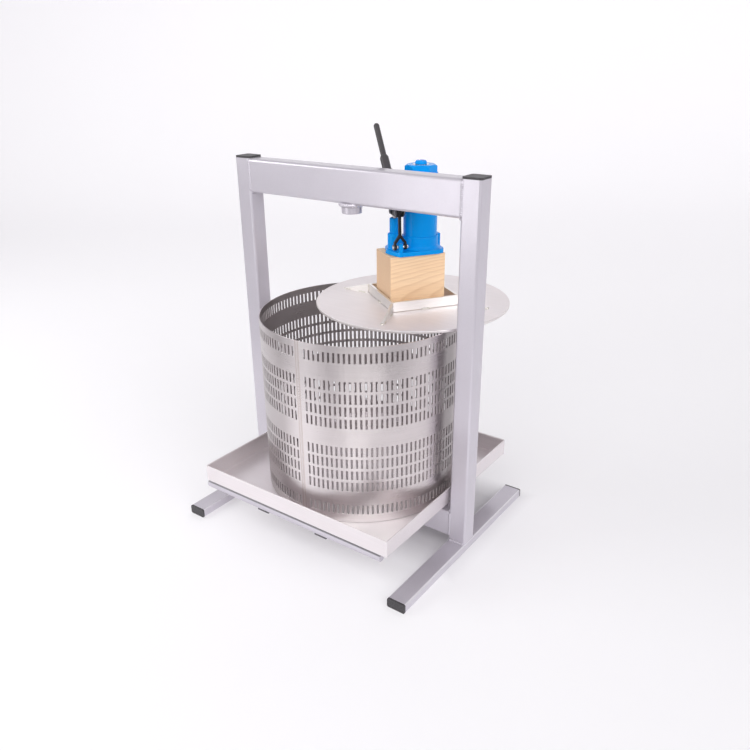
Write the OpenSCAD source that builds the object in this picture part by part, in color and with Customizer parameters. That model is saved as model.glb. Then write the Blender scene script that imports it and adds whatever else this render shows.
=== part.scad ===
// Hydraulic fruit press: welded tube frame, drip tray, slotted basket, press plate with
// locating frame, wooden spacer block and a hand-pumped bottle jack.
// Floor is z = 0, x runs along the beams, y runs to the back. Millimetres.

/* [Frame] */
// clear width between the two posts
span = 512; // [360:2:700]
// width and depth of the square post tube
post_w = 40; // [30:1:60]
// top of the post tubes above the floor
post_top = 772; // [550:1:1000]
// wall of the post tubes
post_wall = 3; // [2:0.5:5]
// outer corner radius of the tubes
tube_r = 5; // [2:0.5:8]
// height of the pressing beam between the post tops
beam_h = 70; // [50:1:100]
// wall of the pressing beam
beam_wall = 4; // [3:0.5:8]
// height of the lower beam
low_beam_h = 60; // [40:1:80]
// underside of the lower beam above the floor
low_beam_z = 28; // [22:1:60]
// height of the flat foot tubes
foot_h = 20; // [15:1:40]
// wall of the foot tubes
foot_wall = 2; // [1.5:0.5:4]
// length of a foot over its end caps
foot_len = 496; // [350:2:700]
// thickness of the plastic cap heads
cap_t = 4; // [2:0.5:6]
// outside diameter of the jack socket under the beam
socket_od = 42; // [34:1:60]
// bore of the jack socket
socket_id = 30; // [25:1:48]
// depth of the jack socket
socket_h = 20; // [10:1:30]

/* [Tray support] */
// distance of the support arms from the middle
arm_x = 79; // [50:1:150]
// width of a support arm
arm_w = 30; // [20:1:50]
// thickness of a support arm
arm_t = 6; // [5:1:12]
// diameter of the round rail tube under the tray
rail_d = 20; // [15:1:30]
// length of a rail tube
rail_l = 472; // [330:2:670]

/* [Tray] */
// outside width of the tray
tray_w = 486; // [340:2:680]
// outside depth of the tray
tray_d = 482; // [340:2:680]
// height of the tray walls
tray_h = 40; // [25:1:80]
// tray sheet thickness
tray_t = 1.5; // [1:0.1:3]
// tray underside above the floor
tray_z = 102; // [95:1:150]
// sideways place of the tray between the posts
tray_x = 8; // [-10:1:10]
// outside diameter of the juice outlet
outlet_od = 26.9; // [15:0.1:40]
// bore of the juice outlet
outlet_id = 21.7; // [10:0.1:34]
// how far the outlet stands out of the back wall
outlet_l = 45; // [20:1:80]

/* [Basket] */
// outside radius of the basket
basket_r = 212; // [150:1:300]
// basket sheet thickness
basket_t = 2; // [1:0.5:3]
// basket height
basket_h = 379; // [200:1:500]
// sideways place of the basket
basket_x = 20; // [-20:1:20]
// slot columns round the basket
slot_n = 131; // [60:1:180]
// from the seam to the slot column on its right
seam_right = 17; // [8:0.5:30]
// from the seam to the slot column on its left
seam_left = 10.5; // [8:0.5:30]
// slot width
slot_w = 4; // [2:0.5:6]
// slot length
slot_l = 20; // [10:1:30]
// step between slot rows
slot_step = 26; // [22:1:40]

/* [Press plate] */
// radius of the press disc
disc_r = 206; // [140:1:297]
// thickness of the press disc
disc_t = 5; // [3:0.5:10]
// sideways place of the parked plate
plate_x = 73; // [0:1:80]
// place of the parked plate towards the back
plate_y = 112; // [60:1:130]
// how far the parked plate is turned
plate_turn = 55; // [0:1:90]
// outside of the square locating frame
loc_w = 149; // [110:1:180]
// height of the locating bars
bar_h = 20; // [10:1:30]
// thickness of the locating bars and gussets
bar_t = 5; // [3:0.5:8]
// gap between the disc and the bars, bridged by tack welds
bar_gap = 1.2; // [0:0.2:2]
// reach of a gusset from the frame corner
gusset_l = 62; // [30:1:80]
// how much further the front gusset reaches
gusset_more = 12; // [0:1:15]

/* [Wooden block] */
// length of the block along its grain
block_l = 120; // [80:1:130]
// width of the block
block_w = 86; // [60:1:130]
// height of the block
block_h = 105; // [40:1:140]

/* [Jack] */
// outside radius of the oil reservoir tube
res_r = 35; // [28:0.5:45]
// radius of the pressure cylinder bore
bore_r = 18; // [14:0.5:22]
// height of the jack to the top of its nut
jack_h = 175; // [150:1:220]
// height of the cup round the reservoir tube
cup_h = 35; // [25:1:50]
// width across the flats of the top nut
nut_af = 58; // [48:1:70]
// radius of the screw saddle
saddle_r = 12; // [10:0.5:16]
// height of the screw saddle
saddle_h = 7; // [6:0.5:15]
// distance from the main cylinder to the pump
pump_x = 57; // [52:1:70]
// outside radius of the pump cylinder
pump_r = 9; // [8:0.5:12]
// top of the pump cylinder above the sole
pump_top = 72; // [60:1:90]
// length of the pump link between its pins
link_l = 68.2; // [55:0.1:80]
// angle of the handle above level
handle_up = 51.3; // [30:0.1:70]
// radius of the lower handle tube
handle_r = 9; // [7:0.5:12]
// radius of the upper handle rod
rod_r = 6; // [5:0.5:8]
// length of the handle above the socket floor
handle_l = 176; // [120:1:600]

/* [Hidden] */
$fn = 96;
post_x = span/2 + post_w/2;
beam_z = post_top - beam_h;
rail_z = tray_z - rail_d;
arm_z = rail_z - arm_t;
rail_y = tray_d/2 - rail_d/2 - 2;
rail_x = -4;
basket_z = tray_z + tray_t + 0.5;
rim_z = basket_z + basket_h;
disc_z = rim_z + 0.4;
disc_top = disc_z + disc_t;
block_z = disc_top + 0.2;
jack_z = block_z + block_h + 0.2;
jack_x = 13.3;
jack_y = -4;
sole_h = 9;
pump_y = 2;
lug_y = -34;
pin_z = 19.5;
link_lean = 4.2;
knee_y = lug_y + link_l*sin(link_lean);
knee_z = pin_z + link_l*cos(link_lean);
plunger_z = knee_z - 1.5;
hand_y = -20.9;
hand_z = 84.1;
tube_wall_r = 13;
valve_x = -30;
valve_z = 8.5;
slot_rows = [29, 82, 82 + slot_step, 82 + 2*slot_step, 82 + 3*slot_step,
             221, 221 + slot_step, 221 + 2*slot_step, 221 + 3*slot_step, 355.5];
seam_at = -88.5;
slot_a0 = seam_at + seam_right/basket_r*180/PI;
slot_a = (360 - (seam_right + seam_left)/basket_r*180/PI)/(slot_n - 1);
steel_paint = [0.80, 0.79, 0.82];
stainless = [0.78, 0.77, 0.76];
black = [0.05, 0.05, 0.06];
blue = [0.02, 0.36, 0.72];

// ---- helpers ----
module rrect(w, d, r) {
  square([w - 2*r, d], center = true);
  square([w, d - 2*r], center = true);
  for (x = [-1, 1], y = [-1, 1]) translate([x*(w/2 - r), y*(d/2 - r)]) circle(r);
}
module tube(w, d, r, t, l) {
  difference() {
    linear_extrude(l) rrect(w, d, r);
    translate([0, 0, -1]) linear_extrude(l + 2) rrect(w - 2*t, d - 2*t, max(r - t, 1));
  }
}
module ring(ro, ri, h) {
  difference() {
    cylinder(r = ro, h = h);
    translate([0, 0, -1]) cylinder(r = ri, h = h + 2);
  }
}
module on_plate() { translate([plate_x, plate_y, 0]) rotate([0, 0, plate_turn]) children(); }
module on_jack() { on_plate() translate([jack_x, jack_y, jack_z]) children(); }
// children lie along +x of the jack, centred on the pump's own plane
module cross(y, z, l) { translate([-pump_x - l/2, y, z]) rotate([0, 90, 0]) children(); }
// children lie along the handle, z = 0 at the foot of its line
module along_handle() { translate([-pump_x, hand_y, hand_z]) rotate([handle_up - 90, 0, 0]) children(); }

// ---- frame ----
module left_post() { color(steel_paint) translate([-post_x, 0, foot_h]) tube(post_w, post_w, tube_r, post_wall, post_top - foot_h); }
module right_post() { color(steel_paint) translate([post_x, 0, foot_h]) tube(post_w, post_w, tube_r, post_wall, post_top - foot_h); }
module top_beam() {
  color(steel_paint) translate([-span/2, 0, beam_z + beam_h/2]) rotate([90, 0, 90]) tube(post_w, beam_h, tube_r + 1, beam_wall, span);
}
module ram_socket() {
  color(steel_paint) translate([0, 0, beam_z - socket_h]) difference() {
    union() {
      cylinder(r = socket_od/2, h = socket_h);
      translate([0, 0, socket_h - 3]) cylinder(r1 = socket_od/2, r2 = socket_od/2 + 3, h = 3);
    }
    translate([0, 0, -1]) cylinder(r = socket_id/2, h = socket_h + 2);
    translate([0, 0, -0.01]) cylinder(r1 = socket_id/2 + 1.5, r2 = socket_id/2, h = 1.5);
  }
}
module bottom_beam() {
  color(steel_paint) translate([-span/2, 0, low_beam_z + low_beam_h/2]) rotate([90, 0, 90]) tube(post_w, low_beam_h, tube_r, post_wall, span);
}
module foot(x) {
  color(steel_paint) translate([x, foot_len/2 - cap_t, foot_h/2]) rotate([90, 0, 0]) tube(post_w, foot_h, tube_r - 1.5, foot_wall, foot_len - 2*cap_t);
}
module left_foot() { foot(-post_x); }
module right_foot() { foot(post_x); }
module post_caps() {
  color(black) for (s = [-1, 1]) translate([s*post_x, 0, post_top]) {
    linear_extrude(cap_t - 1.2) rrect(post_w, post_w, tube_r);
    translate([0, 0, cap_t - 1.2]) linear_extrude(1.2) rrect(post_w - 2.4, post_w - 2.4, tube_r - 1.2);
    translate([0, 0, -12]) linear_extrude(12) rrect(post_w - 2*post_wall - 0.4, post_w - 2*post_wall - 0.4, 1.8);
  }
}
module foot_caps() {
  color(black) for (s = [-1, 1], e = [0, 180]) translate([s*post_x, 0, foot_h/2]) rotate([90, 0, e]) translate([0, 0, foot_len/2 - cap_t]) {
    linear_extrude(cap_t - 1.2) rrect(post_w, foot_h, tube_r - 1.5);
    translate([0, 0, cap_t - 1.2]) linear_extrude(1.2) rrect(post_w - 2.4, foot_h - 2.4, tube_r - 2.7);
    translate([0, 0, -12]) linear_extrude(12) rrect(post_w - 2*foot_wall - 0.4, foot_h - 2*foot_wall - 0.4, 1.3);
  }
}
module tray_arms() {
  color(steel_paint) for (x = [-1, 1], y = [-1, 1])
    translate([x*arm_x - arm_w/2, y > 0 ? post_w/2 : -rail_y - 1, arm_z]) cube([arm_w, rail_y + 1 - post_w/2, arm_t]);
}
module tray_rails() {
  color(steel_paint) for (y = [-1, 1]) translate([rail_x - rail_l/2, y*rail_y, rail_z + rail_d/2]) rotate([0, 90, 0]) difference() {
    cylinder(r = rail_d/2, h = rail_l);
    translate([0, 0, 2]) cylinder(r = rail_d/2 - 2, h = rail_l - 4);
  }
}

// ---- tray ----
module tray() {
  color(stainless) translate([tray_x, 0, tray_z]) difference() {
    union() {
      difference() {
        translate([-tray_w/2, -tray_d/2, 0]) cube([tray_w, tray_d, tray_h]);
        translate([-tray_w/2 + tray_t, -tray_d/2 + tray_t, tray_t]) cube([tray_w - 2*tray_t, tray_d - 2*tray_t, tray_h]);
      }
      for (s = [-1, 1]) {
        translate([-tray_w/2 + 5, s > 0 ? tray_d/2 - 2*tray_t : -tray_d/2 + tray_t, tray_h - 9]) cube([tray_w - 10, tray_t, 9]);
        translate([s > 0 ? tray_w/2 - 2*tray_t : -tray_w/2 + tray_t, -tray_d/2 + 5, tray_h - 9]) cube([tray_t, tray_d - 10, 9]);
      }
    }
    translate([0, tray_d/2 - 5, tray_t + outlet_od/2 + 0.5]) rotate([-90, 0, 0]) cylinder(r = outlet_id/2, h = 10);
  }
}
module outlet_pipe() {
  color(stainless) translate([tray_x, tray_d/2, tray_z + tray_t + outlet_od/2 + 0.5]) rotate([-90, 0, 0]) ring(outlet_od/2, outlet_id/2, outlet_l);
}

// ---- basket ----
// the rolled sheet has one narrow flat for each slot column and one for the seam
module rolled(r) { polygon([for (i = [0 : slot_n]) r*[cos(slot_a0 + (i - 0.5)*slot_a), sin(slot_a0 + (i - 0.5)*slot_a)]]); }
module basket() {
  color(stainless) translate([basket_x, 0, basket_z]) difference() {
    linear_extrude(basket_h) difference() {
      rolled(basket_r);
      rolled(basket_r - basket_t);
    }
    for (z = slot_rows) for (i = [0 : slot_n - 1]) rotate([0, 0, slot_a0 + i*slot_a])
      translate([basket_r - basket_t - 2, -slot_w/2, z - slot_l/2]) cube([basket_t + 4, slot_w, slot_l]);
  }
}

// ---- press plate ----
module press_disc() { color(stainless) translate([plate_x, plate_y, disc_z]) cylinder(r = disc_r, h = disc_t); }
module locating_frame() {
  bz = disc_top + bar_gap;
  color(stainless) on_plate() difference() {
    union() {
      translate([-loc_w/2, -loc_w/2, bz]) cube([loc_w, loc_w, bar_h]);
      for (a = [0 : 90 : 270]) rotate([0, 0, a]) translate([loc_w/2 - 0.6, -9, disc_top + 0.9]) rotate([-90, 0, 0]) cylinder(r = 2.6, h = 18);
    }
    translate([-loc_w/2 + bar_t, -loc_w/2 + bar_t, disc_top - 5]) cube([loc_w - 2*bar_t, loc_w - 2*bar_t, bar_h + 20]);
    translate([-loc_w, -loc_w, disc_top - 10]) cube([2*loc_w, 2*loc_w, 10]);
  }
}
module gussets() {
  c = loc_w/2;
  color(stainless) on_plate() difference() {
    // corner, turn away from the diagonal, reach
    for (g = [[45, 0, gusset_l], [135, -7, gusset_l], [225, 9.5, gusset_l + gusset_more], [315, 0, gusset_l]])
      rotate([0, 0, g[0]]) translate([c*sqrt(2), 0, disc_top]) rotate([0, 0, g[1]]) translate([0, bar_t/2, 0]) rotate([90, 0, 0])
        linear_extrude(bar_t) polygon([[-bar_t/2, 0], [g[2], 0], [g[2], 2.5], [0, bar_h + bar_gap - 0.5], [-bar_t/2, bar_h + bar_gap - 0.5]]);
    translate([-c, -c, disc_top - 1]) cube([2*c, 2*c, bar_h + 10]);
  }
}

// ---- wooden block ----
module wood_block() {
  color([0.85, 0.68, 0.42]) on_plate() translate([-6 - block_l/2, -block_w/2, block_z]) cube([block_l, block_w, block_h]);
}

// ---- jack body ----
module jack_base() {
  color(blue) on_jack() difference() {
    union() {
      linear_extrude(sole_h) polygon([[-60, -44], [26, -44], [36, -39], [41, -30], [43, -18], [43, 18], [41, 30], [36, 39], [26, 44], [-54, 44], [-68, 26], [-76, 0], [-74, -14], [-65, -37]]);
      cylinder(r = res_r + 2.5, h = cup_h - 2);
      translate([0, 0, cup_h - 2]) cylinder(r1 = res_r + 2.5, r2 = res_r + 1, h = 2);
      translate([0, 0, sole_h]) cylinder(r1 = res_r + 6.5, r2 = res_r + 2.5, h = 5);
      translate([-pump_x, pump_y, 0]) cylinder(r = 13, h = 39.5);
      translate([-pump_x, pump_y, 39.5]) cylinder(r1 = 13, r2 = 11.5, h = 1.5);
      translate([-pump_x, pump_y - 10, 0]) cube([pump_x - 25, 20, 29]);
      translate([35, 6, 0]) linear_extrude(cup_h) rrect(16, 34, 5);
      translate([-pump_x - 4.5, lug_y - 7, 0]) cube([9, 14, pin_z]);
      cross(lug_y, pin_z, 9) cylinder(r = 7, h = 9);
      translate([valve_x - 9, 8, 0]) cube([18, 36, 18]);
    }
    translate([0, 0, 12]) cylinder(r = res_r + 0.1, h = cup_h);
    translate([0, 0, sole_h]) cylinder(r = 23.1, h = 10);
    translate([-pump_x, pump_y, 20]) cylinder(r = pump_r + 0.1, h = 30);
    translate([-pump_x, pump_y, 6]) cylinder(r = 2, h = 20);
    translate([-pump_x, pump_y, 10]) cylinder(r = 3.6, h = 12);
    translate([-85, pump_y, 6]) rotate([0, 90, 0]) cylinder(r = 2, h = 75);
    translate([-85, pump_y, 6]) rotate([0, 90, 0]) cylinder(r = 2.8, h = 17);
    translate([-10, pump_y, 2.6]) cylinder(r = 3.6, h = 10);
    translate([valve_x, 28, valve_z]) rotate([-90, 0, 0]) cylinder(r = 5.8, h = 30);
    // valve seat, its way from under the ram, and its way back into the reservoir
    translate([valve_x, 14, valve_z]) rotate([-90, 0, 0]) cylinder(r = 2, h = 20);
    translate([valve_x, 15, valve_z - 2.6]) rotate([0, 81.5, -22.8]) cylinder(r = 1.5, h = 22);
    translate([valve_x + 3, 30, valve_z - 2.5]) rotate([0, 65, -48.2]) cylinder(r = 1.5, h = 16);
    cross(lug_y, pin_z, 40) cylinder(r = 3.55, h = 40);
  }
}
module jack_reservoir() {
  color(blue) on_jack() difference() {
    translate([0, 0, 12]) cylinder(r = res_r, h = jack_h - 16 - 12);
    translate([0, 0, 11]) cylinder(r = res_r - 3.5, h = jack_h);
    translate([0, 0, 128]) rotate([-90, 0, 0]) cylinder(r = 5, h = 60);
  }
}
module jack_cylinder() { color([0.6, 0.6, 0.62]) on_jack() translate([0, 0, sole_h]) ring(23, bore_r, jack_h - 24 - sole_h); }
module jack_top_nut() {
  hr = nut_af/sqrt(3);
  color(blue) on_jack() difference() {
    union() {
      translate([0, 0, jack_h - 16]) intersection() {
        rotate([0, 0, 37]) cylinder(r = hr, h = 16, $fn = 6);
        union() {
          cylinder(r = hr - 0.6, h = 12.5);
          translate([0, 0, 12.5]) cylinder(r1 = hr - 0.6, r2 = hr - 5, h = 3.5);
        }
      }
      translate([0, 0, jack_h - 28]) cylinder(r = res_r - 3.6, h = 12.5);
    }
    translate([0, 0, jack_h - 40]) cylinder(r = bore_r - 0.7, h = 60);
    translate([0, 0, jack_h - 30]) cylinder(r = 23.1, h = 6);
    translate([0, 0, jack_h - 4.1]) cylinder(r = 20.1, h = 3.1);
  }
}
module nut_wiper() { color(black) on_jack() translate([0, 0, jack_h - 4]) ring(20, bore_r - 0.6, 2.9); }
module pump_cylinder() {
  color(blue) on_jack() translate([-pump_x, pump_y, 20]) difference() {
    union() {
      cylinder(r = pump_r, h = pump_top - 21);
      translate([0, 0, pump_top - 21]) cylinder(r1 = pump_r, r2 = pump_r - 1, h = 1);
    }
    translate([0, 0, -1]) cylinder(r = 6.5, h = 80);
  }
}
module link_pin() {
  color([0.8, 0.8, 0.8]) on_jack() {
    cross(lug_y, pin_z, 31) cylinder(r = 3.5, h = 31);
    translate([-pump_x + 13.3, lug_y, pin_z]) rotate([0, 90, 0]) cylinder(r = 5.2, h = 2.2);
  }
}
module link_clip() {
  color([0.3, 0.3, 0.32]) on_jack() translate([-pump_x - 14.8, lug_y, pin_z]) rotate([0, 90, 0]) ring(5.6, 3.5, 1.4);
}
module filler_plug() {
  color(black) on_jack() translate([0, 0, 128]) rotate([-90, 0, 0]) {
    translate([0, 0, res_r - 6]) cylinder(r = 4.9, h = 8);
    translate([0, 0, res_r + 0.2]) cylinder(r1 = 7.5, r2 = 6.5, h = 3);
  }
}
module passage_plug() {
  color([0.75, 0.6, 0.3]) on_jack() translate([-75, pump_y, 6]) rotate([0, 90, 0]) difference() {
    cylinder(r = 2.75, h = 6.5);
    translate([-5, -0.5, -0.1]) cube([10, 1, 1.3]);
  }
}
module check_balls() {
  color([0.8, 0.8, 0.8]) on_jack() {
    translate([-pump_x, pump_y, 13.1]) sphere(r = 3);
    translate([-10, pump_y, 5.7]) sphere(r = 3);
  }
}

// ---- ram and screw ----
module jack_ram() {
  color([0.8, 0.8, 0.8]) on_jack() translate([0, 0, 24]) difference() {
    union() {
      cylinder(r = bore_r - 1, h = jack_h - 24 + 0.3);
      cylinder(r = bore_r - 0.35, h = 10);
    }
    translate([0, 0, 60]) cylinder(r = 10.35, h = 120);
    translate([0, 0, 3]) ring(30, bore_r - 3, 4);
  }
}
module ram_seal() { color(black) on_jack() translate([0, 0, 27.1]) ring(bore_r - 0.3, bore_r - 3, 3.8); }
module extension_screw() {
  color(blue) on_jack() {
    translate([0, 0, 100]) cylinder(r = 10, h = jack_h + 1 - 100);
    translate([0, 0, jack_h + 0.6]) difference() {
      union() {
        cylinder(r = saddle_r, h = saddle_h - 3);
        translate([0, 0, saddle_h - 3]) cylinder(r1 = saddle_r, r2 = saddle_r - 2.5, h = 3);
      }
      for (a = [0, 90]) rotate([0, 0, a]) translate([-20, -1.5, saddle_h - 1.2]) cube([40, 3, 5]);
    }
  }
}

// ---- release valve ----
module release_valve() {
  color([0.3, 0.3, 0.32]) on_jack() translate([valve_x, 0, valve_z]) rotate([-90, 0, 0]) difference() {
    union() {
      translate([0, 0, 27]) cylinder(r1 = 1, r2 = 5.4, h = 5);
      translate([0, 0, 32]) cylinder(r = 5.4, h = 14);
      translate([0, 0, 45]) cylinder(r = 7, h = 11);
    }
    translate([-10, -1.6, 51]) cube([20, 3.2, 10]);
    translate([0, 0, 38]) ring(20, 4.4, 2.6);
  }
}
module valve_ring() { color(black) on_jack() translate([valve_x, 38.1, valve_z]) rotate([-90, 0, 0]) ring(5.6, 4.4, 2.4); }

// ---- pump ----
module pump_plunger() {
  color([0.8, 0.8, 0.8]) on_jack() difference() {
    union() {
      translate([-pump_x, pump_y, 26]) cylinder(r = 6, h = plunger_z - 17 - 26);
      intersection() {
        translate([-pump_x, pump_y, plunger_z - 18]) cylinder(r = 6, h = 14);
        translate([-pump_x - 3, pump_y - 10, plunger_z - 18]) cube([6, 20, 14]);
      }
      cross(pump_y - 1.6, plunger_z, 6) cylinder(r = 6.8, h = 6);
      cross(pump_y + 1.6, plunger_z, 6) cylinder(r = 6.8, h = 6);
      translate([-pump_x - 3, pump_y - 1.6, plunger_z - 6.8]) cube([6, 3.2, 13.6]);
    }
    cross(pump_y - 1.6, plunger_z, 20) cylinder(r = 4, h = 20);
    cross(pump_y + 1.6, plunger_z, 20) cylinder(r = 4, h = 20);
    translate([-pump_x - 10, pump_y - 1.6, plunger_z - 4]) cube([20, 3.2, 8]);
    translate([-pump_x, pump_y, 29]) ring(20, 4.6, 3);
  }
}
module plunger_seal() { color(black) on_jack() translate([-pump_x, pump_y, 29.1]) ring(6.2, 4.6, 2.8); }
module pump_link() {
  color(black) on_jack() translate([-pump_x, lug_y, pin_z]) rotate([-link_lean, 0, 0]) difference() {
    union() {
      translate([0, 3.2, 0]) rotate([90, 0, 0]) linear_extrude(6.4)
        polygon([[2.6, link_l], [2.6, 24], [13, 9.5], [13, 0], [8.5, 0], [8.5, 7.5], [0, 18], [-8.5, 7.5], [-8.5, 0], [-13, 0], [-13, 9.5], [-2.6, 24], [-2.6, link_l]]);
      for (x = [-13, 8.5]) translate([x, 0, 0]) rotate([0, 90, 0]) cylinder(r = 6.2, h = 4.5);
      translate([-2.6, 0, link_l]) rotate([0, 90, 0]) cylinder(r = 7, h = 5.2);
    }
    translate([-20, 0, 0]) rotate([0, 90, 0]) cylinder(r = 3.8, h = 40);
    translate([-20, 0, link_l]) rotate([0, 90, 0]) cylinder(r = 4.3, h = 40);
  }
}

// ---- handle ----
module cheek() {
  translate([0, knee_y, knee_z]) rotate([0, 90, 0]) cylinder(r = 9, h = 4);
  translate([0, pump_y, plunger_z]) rotate([0, 90, 0]) cylinder(r = 6.5, h = 4);
  rotate([90, 0, 90]) linear_extrude(4) polygon([[knee_y - 8.6, knee_z + 2.7], [knee_y - 2, knee_z + 8.8], [-14.7, 112.5], [0.3, 131.2],
    [20.5, 115], [pump_y + 6.3, plunger_z + 1.6], [pump_y, plunger_z - 6.5], [knee_y, knee_z - 9]]);
}
module handle_socket() {
  color(black) on_jack() difference() {
    union() {
      translate([-pump_x + 3.4, 0, 0]) cheek();
      translate([-pump_x - 7.4, 0, 0]) cheek();
      along_handle() translate([0, 0, 26]) cylinder(r = tube_wall_r, h = 69);
    }
    along_handle() translate([0, 0, 30]) cylinder(r = handle_r + 0.35, h = 80);
    cross(knee_y, knee_z, 60) cylinder(r = 4.05, h = 60);
    cross(pump_y, plunger_z, 60) cylinder(r = 3.55, h = 60);
  }
}
module socket_pins() {
  color([0.8, 0.8, 0.8]) on_jack() {
    cross(knee_y, knee_z, 20) cylinder(r = 4, h = 20);
    translate([-pump_x + 7.6, knee_y, knee_z]) rotate([0, 90, 0]) cylinder(r = 5.6, h = 2.4);
    cross(pump_y, plunger_z, 20) cylinder(r = 3.5, h = 20);
    translate([-pump_x + 7.6, pump_y, plunger_z]) rotate([0, 90, 0]) cylinder(r = 5, h = 2.4);
  }
}
module socket_clips() {
  color([0.3, 0.3, 0.32]) on_jack() {
    translate([-pump_x - 9.1, knee_y, knee_z]) rotate([0, 90, 0]) ring(6.2, 4, 1.4);
    translate([-pump_x - 9.1, pump_y, plunger_z]) rotate([0, 90, 0]) ring(5.6, 3.5, 1.4);
  }
}
module handle_lower() {
  color(black) on_jack() along_handle() difference() {
    union() {
      translate([0, 0, 30.5]) cylinder(r = handle_r, h = 96);
      translate([0, 0, 126.5]) cylinder(r1 = handle_r, r2 = rod_r + 1.1, h = 5);
    }
    translate([0, 0, 20]) cylinder(r = handle_r - 2, h = 90);
    translate([0, 0, 20]) cylinder(r = rod_r + 0.05, h = 140);
  }
}
module handle_upper() {
  color(black) on_jack() along_handle() {
    translate([0, 0, 90]) cylinder(r = rod_r, h = 31 + handle_l - 90 - rod_r);
    translate([0, 0, 31 + handle_l - rod_r]) sphere(r = rod_r);
  }
}

left_post();
right_post();
top_beam();
ram_socket();
bottom_beam();
left_foot();
right_foot();
post_caps();
foot_caps();
tray_arms();
tray_rails();
tray();
outlet_pipe();
basket();
press_disc();
locating_frame();
gussets();
wood_block();
jack_base();
jack_reservoir();
jack_cylinder();
jack_top_nut();
nut_wiper();
pump_cylinder();
link_pin();
link_clip();
filler_plug();
passage_plug();
check_balls();
jack_ram();
ram_seal();
extension_screw();
release_valve();
valve_ring();
pump_plunger();
plunger_seal();
pump_link();
handle_socket();
socket_pins();
socket_clips();
handle_lower();
handle_upper();
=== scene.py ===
import math
import bpy
import bmesh
from mathutils import Matrix, Vector


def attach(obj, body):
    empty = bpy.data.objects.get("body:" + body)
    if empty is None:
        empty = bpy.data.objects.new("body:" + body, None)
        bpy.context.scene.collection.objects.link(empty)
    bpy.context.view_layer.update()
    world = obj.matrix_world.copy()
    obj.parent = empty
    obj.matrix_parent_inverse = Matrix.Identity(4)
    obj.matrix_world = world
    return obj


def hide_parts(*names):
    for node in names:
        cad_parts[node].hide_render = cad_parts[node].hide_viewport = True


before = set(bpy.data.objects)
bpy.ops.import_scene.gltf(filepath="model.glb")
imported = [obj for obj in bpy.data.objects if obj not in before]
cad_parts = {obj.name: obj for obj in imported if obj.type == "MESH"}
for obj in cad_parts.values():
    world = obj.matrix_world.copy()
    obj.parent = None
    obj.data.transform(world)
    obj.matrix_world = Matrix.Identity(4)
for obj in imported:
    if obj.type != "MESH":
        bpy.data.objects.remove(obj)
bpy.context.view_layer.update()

SCENE = bpy.context.scene
MM = 0.001

# ------------------------------------------------------------------ places (mm)
POST_X, POST_W, POST_TOP = 276.0, 40.0, 772.0
PLATE = Matrix.Translation((73, 112, 0)) @ Matrix.Rotation(math.radians(55), 4, "Z")
JACK = PLATE @ Matrix.Translation((13.3, -4, 593.8))
DISC_Z, DISC_TOP = 483.4, 488.4


# ------------------------------------------------------------------ mesh helpers
def rr(w, d, r, n=6):
    """Rounded rectangle outline, anticlockwise."""
    pts = []
    for cx, cy, a0 in ((w/2 - r, d/2 - r, 0), (-w/2 + r, d/2 - r, 90), (-w/2 + r, -d/2 + r, 180), (w/2 - r, -d/2 + r, 270)):
        for k in range(n + 1):
            a = math.radians(a0 + 90*k/n)
            pts.append((cx + r*math.cos(a), cy + r*math.sin(a)))
    return pts


def rounded(pts, radii, n=4, closed=True):
    """A 2-D outline with each corner turned into an arc."""
    out = []
    m = len(pts)
    for i, p in enumerate(pts):
        r = radii[i] if isinstance(radii, (list, tuple)) else radii
        if r <= 0 or (not closed and i in (0, m - 1)):
            out.append(tuple(p))
            continue
        p = Vector(p)
        a = (Vector(pts[i - 1]) - p)
        b = (Vector(pts[(i + 1) % m]) - p)
        la, lb = a.length, b.length
        a.normalize()
        b.normalize()
        half = a.angle(b)/2
        if half > math.radians(89):
            out.append(tuple(p))
            continue
        t = min(r/math.tan(half), la*0.49, lb*0.49)
        rr_ = t*math.tan(half)
        c = p + (a + b).normalized()*(rr_/math.sin(half))
        s, e = p + a*t - c, p + b*t - c
        for k in range(n + 1):
            u = k/n
            v = s.slerp(e, u) if s.angle(e) > 1e-5 else s
            out.append(tuple(c + v))
    return out


def merge(dst, src):
    me = bpy.data.meshes.new("tmp")
    src.to_mesh(me)
    src.free()
    dst.from_mesh(me)
    bpy.data.meshes.remove(me)
    return dst


def bevel_sharp(bm, width, seg=2, angle=30):
    edges = [e for e in bm.edges if len(e.link_faces) == 2 and e.calc_face_angle(0) > math.radians(angle)]
    if edges:
        bmesh.ops.bevel(bm, geom=edges, offset=width, offset_type="OFFSET", segments=seg, profile=0.5, affect="EDGES", clamp_overlap=True)
    return bm


def prism(outline, z0, z1, bevel=0.0, seg=3, mat=None, angle=30):
    """Closed prism over a 2-D outline, its sharp edges rounded, then moved by mat."""
    bm = bmesh.new()
    lo = [bm.verts.new((x, y, z0)) for x, y in outline]
    hi = [bm.verts.new((x, y, z1)) for x, y in outline]
    n = len(outline)
    for i in range(n):
        bm.faces.new((lo[i], lo[(i + 1) % n], hi[(i + 1) % n], hi[i]))
    bm.faces.new(list(reversed(lo)))
    bm.faces.new(hi)
    if bevel:
        bevel_sharp(bm, bevel, seg, angle)
    if mat is not None:
        bm.transform(mat)
    return bm


def block(x0, x1, y0, y1, z0, z1, bevel, seg=3, mat=None):
    return prism([(x0, y0), (x1, y0), (x1, y1), (x0, y1)], z0, z1, bevel, seg, mat)


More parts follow.
